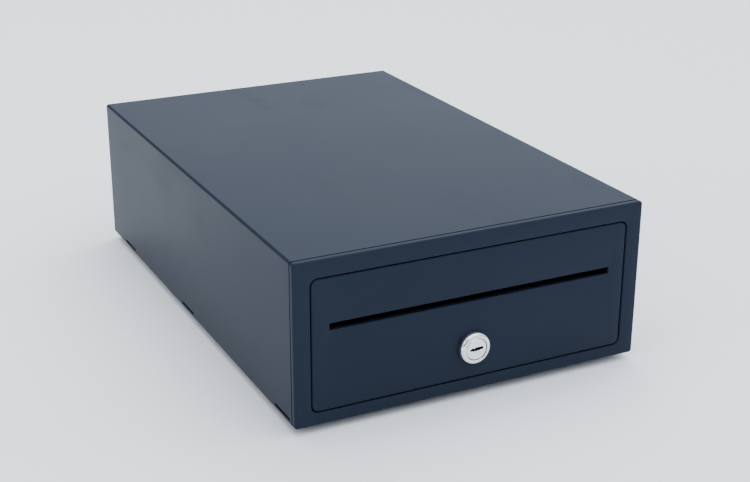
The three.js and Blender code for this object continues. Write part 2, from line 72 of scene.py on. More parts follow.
def middle(node):
    return (low(node) + high(node)) / 2


# ---- camera, studio and light ---------------------------------------------------------------

CASE_LOW, CASE_HIGH = low("cover"), high("cover")
CASE_LOW.y, CASE_HIGH.y = low("front_bezel").y, high("rear_panel").y
CASE_MIDDLE = (CASE_LOW + CASE_HIGH) / 2

VIEW_AZIMUTH = math.radians(-26.549)
VIEW_ELEVATION = math.radians(21.467)
VIEW_ROLL = math.radians(0.222)
VIEW_DISTANCE = 1.0025
VIEW_LENS = 67.61
TENT_HORIZON = 1.15
TENT_ZENITH = 3.0
TENT_TINT = (0.88, 0.95, 1.05)
TENT_BRIGHTENS = (0.1, 0.8)  # heights between which the tent goes from its horizon to its zenith level
BAND_HEIGHT, BAND_EDGES = 0.15, (0.08, 0.3)  # a darker band low in front, and how it fades up and down
BAND_FRONT = (0.2, 0.7)
BAND_DEPTH = 0.85
GAP_LEVEL = 0.08
# Gaps between the tent's panels: the way towards each, and the angles where it is dark and where it ends.
TENT_GAPS = [((-0.45, 0.75, 0.48), 24, 40), ((-0.57, -0.50, 0.65), 9, 19)]
AIM = CASE_MIDDLE + Vector((0.0143, -0.0150, -0.0147))


def toward(azimuth, elevation):
    """The way a camera looks from that side: azimuth 0 looks along +Y."""
    flat = math.cos(elevation)
    return Vector((-math.sin(azimuth) * flat, math.cos(azimuth) * flat, -math.sin(elevation)))


def add_camera():
    look = toward(VIEW_AZIMUTH, VIEW_ELEVATION)
    data = bpy.data.cameras.new("camera")
    data.sensor_width = 36
    data.lens = VIEW_LENS
    data.clip_start = 0.05
    camera = bpy.data.objects.new("camera", data)
    camera.location = AIM - look * VIEW_DISTANCE
    turn = look.to_track_quat("-Z", "Y").to_matrix() @ Matrix.Rotation(VIEW_ROLL, 3, "Z")
    camera.rotation_euler = turn.to_euler()
    bpy.context.scene.collection.objects.link(camera)
    bpy.context.scene.camera = camera


def add_light(name, place, size, power, tint=(1, 1, 1)):
    data = bpy.data.lights.new(name, "AREA")
    data.shape = "RECTANGLE"
    data.size, data.size_y = size
    data.energy = power
    data.color = tint
    lamp = bpy.data.objects.new(name, data)
    lamp.location = place
    lamp.rotation_euler = (Vector((0, 0, 0.05)) - Vector(place)).to_track_quat("-Z", "Y").to_euler()
    bpy.context.scene.collection.objects.link(lamp)


# ---- shader arithmetic -------------------------------------------------------------------------


class Wire:
    """A socket that can be added and multiplied; each step adds its Math node."""

    def __init__(self, graph, socket):
        self.graph, self.socket = graph, socket

    def math(self, operation, *values):
        return self.graph.node("Math", {"operation": operation}, dict(enumerate(values)))

    def __add__(self, other):
        return self.math("ADD", self, other)

    def __radd__(self, other):
        return self.math("ADD", other, self)

    def __sub__(self, other):
        return self.math("SUBTRACT", self, other)

    def __rsub__(self, other):
        return self.math("SUBTRACT", other, self)

    def __mul__(self, other):
        return self.math("MULTIPLY", self, other)

    def __rmul__(self, other):
        return self.math("MULTIPLY", other, self)

    def __neg__(self):
        return self.math("MULTIPLY", self, -1)

    def abs(self):
        return self.math("ABSOLUTE", self)


class Graph:
    """A tree of shader nodes, written as expressions."""

    def __init__(self, tree):
        self.nodes, self.links = tree.nodes, tree.links

    def node(self, kind, settings=None, sockets=None, output=0):
        made = self.nodes.new("ShaderNode" + kind)
        for key, value in (settings or {}).items():
            setattr(made, key, value)
        for key, value in (sockets or {}).items():
            self.feed(made.inputs[key], value)
        return Wire(self, made.outputs[output])

    def feed(self, socket, value):
        if isinstance(value, Wire):
            self.links.new(value.socket, socket)
        elif isinstance(value, (tuple, list)) and len(value) == 3 and socket.type == "RGBA":
            socket.default_value = (*value, 1)
        else:
            socket.default_value = value

    def span(self, value, start, end, low_value=0.0, high_value=1.0):
        return self.node("MapRange", {"clamp": True}, {
            "Value": value, "From Min": start, "From Max": end, "To Min": low_value, "To Max": high_value})

    def axis(self, vector, name):
        return self.node("SeparateXYZ", {}, {"Vector": vector}, output=name)


class Finish(Graph):
    """One material: a Principled shader and the nodes that feed it."""

    def __init__(self, name):
        self.material = bpy.data.materials.new(name)
        self.material.use_nodes = True
        super().__init__(self.material.node_tree)
        self.shader = self.nodes["Principled BSDF"]

    def set(self, **values):
        for key, value in values.items():
            self.feed(self.shader.inputs[key.replace("_", " ").title().replace("Ior", "IOR")], value)

    def place(self, scale=(1, 1, 1)):
        """Object coordinates, stretched for a pattern."""
        coordinates = self.node("TexCoord", output=3)
        return self.node("Mapping", {}, {"Vector": coordinates, "Scale": scale})

    def noise(self, scale, detail=3.0, roughness=0.55, vector=None):
        place = vector or self.place()
        return self.node(
            "TexNoise", {}, {"Vector": place, "Scale": scale, "Detail": detail, "Roughness": roughness})

    def blend(self, factor, first, second):
        return self.node("Mix", {"data_type": "RGBA"}, {0: factor, 6: first, 7: second}, output=2)

    def bump(self, height, strength, distance, normal=None):
        sockets = {"Height": height, "Strength": strength, "Distance": distance}
        if normal:
            sockets["Normal"] = normal
        return self.node("Bump", {}, sockets)


def add_studio():
    """A white tent of light, brightest overhead and darker low in front, with two soft boxes."""
    world = bpy.data.worlds.new("studio")
    world.use_nodes = True
    tent = Graph(world.node_tree)
    way = tent.node("TexCoord", output=0)
    height = tent.axis(way, "Z")
    glow = tent.span(height, *TENT_BRIGHTENS, TENT_HORIZON, TENT_ZENITH)
    front = tent.span(-tent.axis(way, "Y"), *BAND_FRONT)
    band = 1 - tent.span((height - BAND_HEIGHT).abs(), *BAND_EDGES)
    strength = glow * (1 - BAND_DEPTH * front * band)
    for middle_way, dark, ends in TENT_GAPS:
        near = tent.node("VectorMath", {"operation": "DOT_PRODUCT"},
                         {0: way, 1: Vector(middle_way).normalized()}, output=1)
        rim, heart = math.cos(math.radians(ends)), math.cos(math.radians(dark))
        strength = strength * tent.span(near, rim, heart, 1, GAP_LEVEL)
    background = tent.nodes["Background"]
    tent.feed(background.inputs["Color"], TENT_TINT)
    tent.feed(background.inputs["Strength"], strength)
    bpy.context.scene.world = world
    add_light("overhead", (0.1, 0.55, 1.5), (1.6, 1.0), 7)
    add_light("left_side", (-1.5, 0.3, 0.9), (1.2, 1.0), 2)


PAINT_DARK = (0.0122, 0.0177, 0.0292)
PAINT_LIGHT = (0.0136, 0.0194, 0.0324)
PAINT_WORN = (0.018, 0.026, 0.040)
PAINT_ROUGHNESS, PAINT_IOR = 0.37, 1.17
PAINT_SHEEN = (0.80, 0.90, 1.0)


def paint_finish():
    """Satin blue-black enamel: a fine orange peel, faint cloudiness and a few dull rubs."""
    finish = Finish("satin_enamel")
    cloud = finish.span(finish.noise(9, 3), 0.35, 0.65)
    fine = finish.noise(900, 2, 0.5)
    peel = finish.noise(260, 2, 0.45)
    rub = finish.span(finish.noise(30, 6, 0.7, finish.place((1, 0.25, 1))), 0.58, 0.74)
    tone = finish.blend(cloud, PAINT_DARK, PAINT_LIGHT)
    tone = finish.blend(rub * 0.10, tone, PAINT_WORN)
    skin = finish.bump(peel, 0.05, 0.0002)
    finish.set(base_color=tone, metallic=0.0, roughness=PAINT_ROUGHNESS + cloud * 0.03 + rub * 0.05,
               ior=PAINT_IOR, specular_tint=PAINT_SHEEN,
               normal=finish.bump(fine, 0.06, 0.00006, skin))
    return finish.material


def plated_finish(name, colour, shade, roughness, grain):
    """Plated or bare sheet steel with a drawn grain and cloudy passivation."""
    finish = Finish(name)
    cloud = finish.span(finish.noise(22, 4, 0.6), 0.35, 0.68)
    lines = finish.noise(500, 3, 0.6, finish.place(grain))
    finish.set(base_color=finish.blend(cloud, colour, shade), metallic=1.0,
               roughness=roughness + cloud * 0.1 + lines * 0.08,
               normal=finish.bump(lines, 0.12, 0.0001))
    return finish.material


def chrome_finish():
    finish = Finish("polished_chrome")
    haze = finish.span(finish.noise(120, 4, 0.6), 0.45, 0.75)
    swirl = finish.noise(1400, 2, 0.5)
    finish.set(base_color=(0.80, 0.81, 0.83), metallic=1.0, roughness=0.07 + haze * 0.07,
               normal=finish.bump(swirl, 0.03, 0.00004))
    return finish.material


def till_finish():
    """Moulded black plastic with a spark-eroded grain, rubbed a little paler on broad patches."""
    finish = Finish("till_moulding")
    grain = finish.noise(1100, 2, 0.6)
    patch = finish.span(finish.noise(35, 5, 0.65), 0.5, 0.72)
    finish.set(base_color=finish.blend(patch, (0.012, 0.0125, 0.0135), (0.020, 0.0205, 0.022)), metallic=0.0,
               roughness=0.48 + patch * 0.1, normal=finish.bump(grain, 0.25, 0.00012))
    return finish.material


def plain_plastic_finish():
    finish = Finish("engineering_plastic")
    grain = finish.noise(1500, 2, 0.5)
    finish.set(base_color=finish.blend(grain, (0.010, 0.010, 0.011), (0.017, 0.017, 0.018)), metallic=0.0,
               roughness=0.38 + grain * 0.1, normal=finish.bump(grain, 0.1, 0.00005))
    return finish.material


def rubber_finish():
    finish = Finish("foot_rubber")
    grain = finish.noise(700, 4, 0.65)
    dust = finish.span(finish.noise(90, 4, 0.6), 0.5, 0.75)
    finish.set(base_color=finish.blend(dust, (0.014, 0.014, 0.014), (0.05, 0.048, 0.045)), metallic=0.0,
               roughness=0.75 + dust * 0.15, normal=finish.bump(grain, 0.3, 0.00015))
    return finish.material


def copper_finish():
    finish = Finish("lacquered_winding")
    patch = finish.noise(220, 3, 0.5)
    finish.set(base_color=finish.blend(patch, (0.33, 0.10, 0.03), (0.48, 0.17, 0.06)), metallic=0.85,
               roughness=0.28 + patch * 0.12)
    return finish.material


def wire_finish():
    finish = Finish("wire_insulation")
    patch = finish.noise(400, 3, 0.5)
    finish.set(base_color=finish.blend(patch, (0.36, 0.02, 0.015), (0.46, 0.035, 0.025)), metallic=0.0,
               roughness=0.35 + patch * 0.15)
    return finish.material


FINISHES = {
    "painted_shell": paint_finish(),
    "zinc_steel": plated_finish("zinc_plate", (0.52, 0.54, 0.55), (0.63, 0.63, 0.60), 0.30, (3, 0.06, 1)),
    "screw_steel": plated_finish("screw_plate", (0.48, 0.49, 0.50), (0.58, 0.58, 0.57), 0.24, (1, 1, 1)),
    "spring_steel": plated_finish("spring_steel", (0.50, 0.51, 0.53), (0.62, 0.62, 0.62), 0.20, (0.1, 2, 2)),
    "cage_brass": plated_finish("cage_brass", (0.60, 0.45, 0.20), (0.52, 0.38, 0.18), 0.28, (2, 0.1, 2)),
    "lock_chrome": chrome_finish(),
    "till_plastic": till_finish(),
    "black_plastic": plain_plastic_finish(),
    "foot_rubber": rubber_finish(),
    "coil_copper": copper_finish(),
    "wire_red": wire_finish(),
}


# ---- mesh work -----------------------------------------------------------------------------------


def finished(name, bm, body, slot, smooth_below=32):
    """Turns a bmesh into a named piece that rides on a body and wears a slot's finish."""
    mesh = bpy.data.meshes.new(name)
    bm.to_mesh(mesh)
    bm.free()
    for face in mesh.polygons:
        face.use_smooth = True
    mesh.set_sharp_from_angle(angle=math.radians(smooth_below))
    piece = bpy.data.objects.new(name, mesh)
    bpy.context.scene.collection.objects.link(piece)
    mesh.materials.clear()
    mesh.materials.append(FINISHES[slot])
    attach(piece, body)
    return piece


def standing_for(node, name, bm, smooth_below=32):
    piece = finished(name, bm, BODY_OF[node], SLOT_OF[node], smooth_below)
    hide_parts(node)
    return piece


def round_edges(piece, width, segments=2, angle=34):
    """Gives a piece's sharp edges a small round that catches the light."""
    bevel = piece.modifiers.new("rounded_edges", "BEVEL")
    bevel.width = width
    bevel.segments = segments
    bevel.limit_method = "ANGLE"
    bevel.angle_limit = math.radians(angle)
    bevel.harden_normals = True
    bevel.use_clamp_overlap = True
    return piece


def softened(node, name, width, segments=2):
    """A node's own solid with its flat faces made whole and its edges rounded."""
    bm = bmesh.new()
    bm.from_mesh(frame["nodes"][node].data)
    bmesh.ops.remove_doubles(bm, verts=bm.verts, dist=0.002 * MM)
    bmesh.ops.dissolve_limit(
        bm, angle_limit=math.radians(0.5), use_dissolve_boundaries=False, verts=bm.verts, edges=bm.edges)
    return round_edges(standing_for(node, name, bm), width, segments)


def edges_of(geometry):
    return [item for item in geometry if isinstance(item, bmesh.types.BMEdge)]


def verts_of(geometry):
    return [item for item in geometry if isinstance(item, bmesh.types.BMVert)]


def faces_of(geometry):
    return [item for item in geometry if isinstance(item, bmesh.types.BMFace)]


Rim = namedtuple("Rim", "left right bottom top radius y")
CORNER_STEPS = 6


def first_rim(bm, rim):
    """An upright rounded rectangle of edges at one depth."""
    made = bmesh.ops.create_grid(bm, x_segments=1, y_segments=1, size=0.5)
    size = Matrix.Diagonal((rim.right - rim.left, rim.top - rim.bottom, 1, 1))
    place = Matrix.Translation(((rim.left + rim.right) / 2, rim.y, (rim.bottom + rim.top) / 2))
    bmesh.ops.transform(bm, matrix=place @ Matrix.Rotation(math.pi / 2, 4, "X") @ size, verts=made["verts"])
    bmesh.ops.bevel(
        bm, geom=made["verts"], offset=rim.radius, offset_type="OFFSET", affect="VERTICES",
        segments=CORNER_STEPS, profile=0.5, material=-1)
    face = next(face for face in bm.faces if len(face.verts) == 4 * CORNER_STEPS + 4)
    edges = list(face.edges)
    bmesh.ops.delete(bm, geom=[face], context="FACES_ONLY")
    return edges


def carried(place, old, new):
    """Where a point of one rim lies on another: on the same corner, in the same direction."""
    right, upper = place.x > (old.left + old.right) / 2, place.z > (old.bottom + old.top) / 2
    along = (place.x - (old.right - old.radius if right else old.left + old.radius)) / old.radius
    up = (place.z - (old.top - old.radius if upper else old.bottom + old.radius)) / old.radius
    return Vector((
        (new.right - new.radius if right else new.left + new.radius) + along * new.radius,
        new.y,
        (new.top - new.radius if upper else new.bottom + new.radius) + up * new.radius))


def skinned(rims):
    """A closed sheet section led round a frame: each rim is drawn out of the one before."""
    bm = bmesh.new()
    edges = first_rim(bm, rims[0])
    for old, new in zip(rims, rims[1:] + rims[:1]):
        made = bmesh.ops.extrude_edge_only(bm, edges=edges)["geom"]
        edges = edges_of(made)
        for vert in verts_of(made):
            vert.co = carried(vert.co, old, new)
    bmesh.ops.remove_doubles(bm, verts=bm.verts, dist=0.001 * MM)
    bmesh.ops.recalc_face_normals(bm, faces=bm.faces)
    return bm


def added(bm, other):
    """Puts one bmesh's shape into another."""
    spare = bpy.data.meshes.new("spare")
    other.to_mesh(spare)
    other.free()
    bm.from_mesh(spare)
    bpy.data.meshes.remove(spare)
    return bm


def open_edges(bm):
    return [edge for edge in bm.edges if edge.is_boundary]


def drawn(bm, edges, shift, taper=1.0):
    """Walls drawn out of a loop of edges; gives back the loop at their far end."""
    made = bmesh.ops.extrude_edge_only(bm, edges=edges)["geom"]
    verts = verts_of(made)
    bmesh.ops.translate(bm, vec=shift, verts=verts)
    centre = sum((vert.co for vert in verts), Vector()) / len(verts)
    bmesh.ops.scale(bm, vec=(taper, taper, taper), space=Matrix.Translation(-centre), verts=verts)
    return edges_of(made)


def outline(bm, points):
    """A closed loop of edges through (x, y) points at height 0."""
    verts = [bm.verts.new((x, y, 0)) for x, y in points]
    return [bm.edges.new(pair) for pair in zip(verts, verts[1:] + verts[:1])]


def pierced(bm, outer, inner, shift, taper=1.0):
    """A flat face between two loops, and the blind hole that the inner one opens into."""
    bmesh.ops.triangle_fill(bm, use_beauty=True, use_dissolve=False, edges=outer + inner)
    bmesh.ops.edgeloop_fill(bm, edges=drawn(bm, inner, shift, taper))


def quarter(steps):
    """Angles over a quarter turn, both ends included."""
    return [math.pi / 2 * i / steps for i in range(steps + 1)]


def rimmed(radius, bottom, top, ease):
    """The outline of a disc with eased rims, as (radius, distance) points."""
    return [(radius - ease, bottom), (radius, bottom + ease), (radius, top - ease), (radius - ease, top)]


def spun(bm, profile, centre=(0, 0, 0), axis=(0, 0, 1), sides=24):
    """Turns a line of (radius, distance) points about an axis through centre."""
    axis = Vector(axis)
    side = axis.orthogonal().normalized()
    verts = [bm.verts.new(Vector(centre) + side * radius + axis * along) for radius, along in profile]
    edges = [bm.edges.new(pair) for pair in zip(verts, verts[1:])]
    bmesh.ops.spin(
        bm, geom=verts + edges, cent=centre, axis=axis, dvec=(0, 0, 0), angle=2 * math.pi, steps=sides,
        use_merge=True, use_duplicate=False)
    bmesh.ops.remove_doubles(bm, verts=bm.verts, dist=0.001 * MM)
    bmesh.ops.recalc_face_normals(bm, faces=bm.faces)


def coil(bm, centre, axis, radius, wire, stages, steps=20, sides=8):
    """A helical spring: a disc of wire swept round an axis while it climbs, stage by stage."""
    axis = Vector(axis)
    side = axis.orthogonal().normalized()
    disc = bmesh.ops.create_circle(bm, cap_ends=True, radius=wire, segments=sides)["verts"]
    stand = Matrix((side, axis, axis.cross(side))).transposed().to_4x4()
    bmesh.ops.transform(bm, matrix=Matrix.Translation(Vector(centre) + side * radius) @ stand, verts=disc)
    last = list(disc[0].link_faces)
    for turns, pitch in stages:
        made = bmesh.ops.spin(
            bm, geom=last, cent=centre, axis=axis, dvec=axis * (pitch / steps), angle=2 * math.pi * turns,
            steps=round(steps * turns), use_merge=False, use_duplicate=False)
        last = faces_of(made["geom_last"])
    bmesh.ops.recalc_face_normals(bm, faces=bm.faces)


def lead(bm, route, radius, sides=10):
    """A round lead drawn along a route, square to it at every point."""
    ways = [(after - before).normalized() for before, after in zip(route[:1] + route, route[1:] + route[-1:])]
    disc = bmesh.ops.create_circle(bm, cap_ends=True, radius=radius, segments=sides)["verts"]
    stand = Matrix.Translation(route[0]) @ ways[0].to_track_quat("Z", "Y").to_matrix().to_4x4()
    bmesh.ops.transform(bm, matrix=stand, verts=disc)
    face = disc[0].link_faces[0]
    for here, there, way, next_way in zip(route, route[1:], ways, ways[1:]):
        made = bmesh.ops.extrude_face_region(bm, geom=[face])["geom"]
        face = faces_of(made)[0]
        turn = way.rotation_difference(next_way).to_matrix().to_4x4()
        move = Matrix.Translation(there) @ turn @ Matrix.Translation(-here)
        bmesh.ops.transform(bm, matrix=move, verts=list(face.verts))
    bmesh.ops.recalc_face_normals(bm, faces=bm.faces)


def block(bm, lowest, highest, ease=0.0):
    """A block between two corners with its edges eased."""
    lowest, highest = Vector(lowest), Vector(highest)
    cube = bmesh.ops.create_cube(bm, size=1)["verts"]
    place = Matrix.Translation((lowest + highest) / 2) @ Matrix.Diagonal((*(highest - lowest), 1))
    bmesh.ops.transform(bm, matrix=place, verts=cube)
    if ease:
        edges = list({edge for vert in cube for edge in vert.link_edges})
        bmesh.ops.bevel(
            bm, geom=edges, offset=ease, offset_type="OFFSET", affect="EDGES", segments=2, profile=0.5,
            material=-1)


# ---- case -----------------------------------------------------------------------------------------

FRONT_Y = low("front_bezel").y
SHEET = 1.2 * MM
PANEL_LOW, PANEL_HIGH = low("drawer_front"), high("drawer_front")
PANEL_GAP = 0.9 * MM
OPENING_RADIUS = 5 * MM
BEZEL_ROUND = 1.2 * MM
BEZEL_RIM = 3.5 * MM
BEZEL_FACE = 1.5 * MM
COLLAR_OUTER, COLLAR_INNER = 1.6 * MM, 2.8 * MM
LIP_DEPTH = 7.5 * MM
LIP_ROUND = 0.6 * MM
CASE_CORNER, CORNER_EASE, CORNER_LEAST = 2 * MM, 0.6, 0.4 * MM


def case_rim(inset, y):
    return Rim(
        CASE_LOW.x + inset, CASE_HIGH.x - inset, CASE_LOW.z + inset, CASE_HIGH.z - inset,
        max(CASE_CORNER - inset * CORNER_EASE, CORNER_LEAST), y)


def opening_rim(outset, y):
    reach = PANEL_GAP + outset
    return Rim(
        PANEL_LOW.x - reach, PANEL_HIGH.x + reach, PANEL_LOW.z - reach, PANEL_HIGH.z + reach,
        OPENING_RADIUS + outset, y)


def rolled(radius, steps):
    """How far in and how far back a rounded edge has come at each step, from its side to its face."""
    return [(radius * (1 - math.cos(turn)), radius * (1 - math.sin(turn))) for turn in quarter(steps)]


def front_frame():
    """The pressed bezel: a soft outer edge, a flat face, and a lip turned in around the drawer."""
    rear, behind = high("front_bezel").y, FRONT_Y + BEZEL_FACE
    outer = [case_rim(inset, FRONT_Y + back) for inset, back in rolled(BEZEL_ROUND, 5)]
    inner = [opening_rim(outset, FRONT_Y + back) for outset, back in reversed(rolled(LIP_ROUND, 3))]
    bm = skinned([
        case_rim(0, FRONT_Y + BEZEL_RIM), *outer, *inner,
        opening_rim(0, FRONT_Y + LIP_DEPTH), opening_rim(SHEET, FRONT_Y + LIP_DEPTH),
        opening_rim(SHEET, behind), case_rim(BEZEL_FACE, behind), case_rim(BEZEL_FACE, FRONT_Y + BEZEL_RIM)])
    added(bm, skinned([
        case_rim(COLLAR_OUTER, behind), case_rim(COLLAR_OUTER, rear),
        case_rim(COLLAR_INNER, rear), case_rim(COLLAR_INNER, behind)]))
    standing_for("front_bezel", "bezel_pressing", bm)


front_frame()


# ---- drawer front and lock --------------------------------------------------------------------

FACE_Y = PANEL_LOW.y
PANEL_RADIUS = OPENING_RADIUS - PANEL_GAP
SLOT_SIDE = 97 * MM
SLOT_LOW, SLOT_HIGH = 64.7 * MM, 69.1 * MM
SLOT_CORNER, SLOT_ROUND = 0.9 * MM, 0.5 * MM
PANEL_FACE, PANEL_ROUND, PANEL_CORNER_LEAST = 1.5 * MM, 0.9 * MM, 0.5 * MM


def panel_rim(inset, y):
    return Rim(
        PANEL_LOW.x + inset, PANEL_HIGH.x - inset, PANEL_LOW.z + inset, PANEL_HIGH.z - inset,
        max(PANEL_RADIUS - inset, PANEL_CORNER_LEAST), y)


def slot_rim(outset, y):
    return Rim(
        -SLOT_SIDE - outset, SLOT_SIDE + outset, SLOT_LOW - outset, SLOT_HIGH + outset,
        SLOT_CORNER + outset, y)


def drawer_pressing():
    """The drawer's front pan: returned edges, and a slot for cheques with its edges rolled in."""
    behind, rear = FACE_Y + PANEL_FACE, PANEL_HIGH.y
    outer = [panel_rim(inset, FACE_Y + back) for inset, back in rolled(PANEL_ROUND, 4)]
    slot = [slot_rim(outset, FACE_Y + back) for outset, back in reversed(rolled(SLOT_ROUND, 3))]
    bm = skinned([
        panel_rim(0, rear), *outer, *slot, slot_rim(0, behind),
        panel_rim(SHEET, behind), panel_rim(SHEET, rear)])
    standing_for("drawer_front", "drawer_pressing", bm)


drawer_pressing()

LOCK_MIDDLE = middle("lock_housing")
LOCK_FACE = low("lock_housing").y
LOCK_FLANGE = (high("lock_housing").x - low("lock_housing").x) / 2
BARREL_RADIUS = 9 * MM
BORE_RADIUS = 7.4 * MM
PLUG_RADIUS = 7.0 * MM
PLUG_TAIL = 4 * MM
SHOULDER_WIDTH, SHOULDER_DEPTH = 2.3 * MM, 3.5 * MM
PLUG_EASE = 0.3 * MM
KEYWAY_DEPTH = 13 * MM
TAIL_HALF = 2.5 * MM
# The keyhole seen from in front, in mm from its middle: one row of wards above, one below.
KEYWAY_UPPER = [(-4.65, 0.1), (-3.0, 1.15), (-1.6, 0.6), (-0.7, 1.3), (4.65, 1.35)]
KEYWAY_LOWER = [(4.65, -0.5), (2.7, -0.5), (1.8, -1.3), (1.0, -0.6), (0, -1.5), (-1.0, -0.7), (-2.0, -1.5),
                (-3.1, -0.7), (-4.65, -1.0)]


def lock_bezel():
    """The lock's chrome body: a round shoulder, a flat face, a bored barrel and its flange."""
    bm = bmesh.new()
    seat, rear = FRONT_Y - 0.1 * MM - LOCK_FACE, high("lock_housing").y - LOCK_FACE
    inner = LOCK_FLANGE - SHOULDER_WIDTH
    profile = [(BORE_RADIUS + PLUG_EASE / 2, 0)]
    profile += [
        (inner + SHOULDER_WIDTH * math.sin(turn), SHOULDER_DEPTH * (1 - math.cos(turn)))
        for turn in quarter(10)]
    profile += [
        (LOCK_FLANGE, seat), (BARREL_RADIUS, seat), (BARREL_RADIUS, rear), (BORE_RADIUS, rear),
        (BORE_RADIUS, PLUG_EASE / 2), profile[0]]
    spun(bm, profile, (LOCK_MIDDLE.x, LOCK_FACE, LOCK_MIDDLE.z), (0, 1, 0), 96)
    standing_for("lock_housing", "lock_body", bm)


def key_plug():
    """The plug, drawn face up and then stood in the barrel with its keyhole towards the front."""
    bm = bmesh.new()
    length = high("lock_plug").y - low("lock_plug").y
    spun(bm, [
        (0, -length + PLUG_TAIL), (PLUG_RADIUS, -length + PLUG_TAIL), (PLUG_RADIUS, -PLUG_EASE),
        (PLUG_RADIUS - PLUG_EASE, 0)], sides=72)
    rim = open_edges(bm)
    keyway = outline(bm, [(x * MM, y * MM) for x, y in KEYWAY_UPPER + KEYWAY_LOWER])
    pierced(bm, rim, keyway, (0, 0, -KEYWAY_DEPTH))
    bmesh.ops.recalc_face_normals(bm, faces=bm.faces)
    tail_top = -length + PLUG_TAIL + 1 * MM
    block(bm, (-TAIL_HALF, -TAIL_HALF, -length), (TAIL_HALF, TAIL_HALF, tail_top), 0.2 * MM)
    stand = Matrix.Translation((LOCK_MIDDLE.x, low("lock_plug").y, LOCK_MIDDLE.z))
    bmesh.ops.transform(bm, matrix=stand @ Matrix.Rotation(math.pi / 2, 4, "X"), verts=bm.verts)
    standing_for("lock_plug", "key_plug", bm)


lock_bezel()
key_plug()


# ---- pieces that keep their solid's shape, with rounded edges ------------------------------------

SOFTENED = {
    "cover": ("cover_sheet", 0.5),
    "base_pan": ("base_sheet", 0.25),
    "rear_panel": ("rear_sheet", 0.3),
    "drawer_tray": ("tray_sheet", 0.25),
    "till_insert": ("till_moulding", 0.6),
    "coin_tray": ("coin_moulding", 0.5),
    "latch_bracket": ("latch_plate", 0.25),
    "latch_lever": ("latch_arm", 0.3),
    "release_lever": ("release_strip", 0.3),
    "strike_bracket": ("strike_plate", 0.25),
    "solenoid_frame": ("solenoid_yoke", 0.2),
    "solenoid_plunger": ("solenoid_core", 0.25),
    "switch_body": ("switch_case", 0.4),
    "switch_lever": ("switch_blade", 0.15),
    "cable_socket": ("socket_shell", 0.4),
    "kick_post": ("kick_guide", 0.3),
    "lock_nut": ("lock_ring_nut", 0.4),
    "lock_cam": ("lock_tail_cam", 0.25),
}
SOFTENED.update({f"rail_bracket_{side}": (f"slide_bracket_{side}", 0.3) for side in ("left", "right")})
SOFTENED.update({f"outer_rail_{side}": (f"fixed_slide_{side}", 0.3) for side in ("left", "right")})
SOFTENED.update({f"inner_rail_{side}": (f"moving_slide_{side}", 0.3) for side in ("left", "right")})
SOFTENED.update({f"ball_cage_{side}": (f"ball_retainer_{side}", 0.12) for side in ("left", "right")})

for node, (name, width) in SOFTENED.items():
    softened(node, name, width * MM)


# ---- screws and feet ---------------------------------------------------------------------------

HEAD_DOME = 0.6
CROSS_REACH, CROSS_HALF = 0.62, 0.13
THREAD_DEPTH = 0.22 * MM


def threaded(radius, start, end, pitch):
    """A screw's shank as a zigzag of crests and roots, from its tip to its head."""
    turns = max(int((end - start) / pitch), 1)
    crests = [(start + pitch * (turn + 0.5), start + pitch * (turn + 1)) for turn in range(turns)]
    return [(0, start), (radius * 0.6, start)] + [
        point for crest, root in crests for point in ((radius, crest), (radius - THREAD_DEPTH, root))]


def cross_head_screw(node, name, shank, place):
    """A pan-head screw with a cross recess, drawn head up and then stood in its place."""
    bm = bmesh.new()
    size = high(node) - low(node)
    head, length = sorted(size)[1] / 2, max(size)
    if length > 2 * head:
        height = 1.6 * MM
        profile = threaded(shank, -length, -height, 0.7 * MM) + [(shank, -height - 0.05 * MM)]
    else:
        height, length = min(size), min(size)
        profile = [(0, -height)]
    profile += [(head - 0.15 * MM, -height), (head, -height + 0.15 * MM), (head, -HEAD_DOME * height)]
    profile += [
        (head - (1 - math.cos(turn)) * 0.45 * head, -HEAD_DOME * height * (1 - math.sin(turn)))
        for turn in quarter(5)[1:]]
    spun(bm, profile, sides=28)
    long, half = CROSS_REACH * head * 0.8, CROSS_HALF * head
    cross = [(half, long), (half, half), (long, half), (long, -half), (half, -half), (half, -long)]
    cross += [(-x, -y) for x, y in cross]
    pierced(bm, open_edges(bm), outline(bm, cross), (0, 0, -0.55 * height), 0.6)
    bmesh.ops.recalc_face_normals(bm, faces=bm.faces)
    bmesh.ops.transform(bm, matrix=place, verts=bm.verts)
    standing_for(node, name, bm)


FACING_DOWN = Matrix.Rotation(math.pi, 4, "X")
FACING_REAR = Matrix.Rotation(-math.pi / 2, 4, "X")


def underside_screws():
    for kind, name, shank in (("cover_screw", "case_screw", 1.6 * MM), ("foot_screw", "puck_screw", 2 * MM)):
        for number in range(1, 5):
            node = f"{kind}_{number}"
            at = middle(node)
            at.z = low(node).z
            cross_head_screw(node, f"{name}_{number}", shank, Matrix.Translation(at) @ FACING_DOWN)


def cam_screw():
    at = middle("cam_screw")
    at.y = high("cam_screw").y
    cross_head_screw("cam_screw", "tail_screw", 0, Matrix.Translation(at) @ FACING_REAR)


def rubber_pucks():
    """Moulded feet: a little draught on the side, a soft lower rim and a deep well for the screw."""
    well, hole, neck, shelf, lip = 5 * MM, 2.4 * MM, 8.5 * MM, 5.2 * MM, 0.9 * MM
    for number in range(1, 5):
        node = f"rubber_foot_{number}"
        bm = bmesh.new()
        radius, top = (high(node).x - low(node).x) / 2, high(node).z
        rim = [(radius - lip * (1 - math.sin(turn)), lip * (1 - math.cos(turn))) for turn in quarter(5)]
        spun(bm, [
            (hole, shelf), (well, shelf), (well, 0.4 * MM), (well + 0.4 * MM, 0), *rim,
            (radius - 0.3 * MM, shelf - 0.5 * MM), (radius - 0.7 * MM, shelf), (neck, shelf), (neck, top),
            (hole, top), (hole, shelf)], (middle(node).x, middle(node).y, 0), sides=48)
        standing_for(node, f"rubber_puck_{number}", bm)


underside_screws()
cam_screw()
rubber_pucks()


# ---- slides: balls in their cages -----------------------------------------------------------------

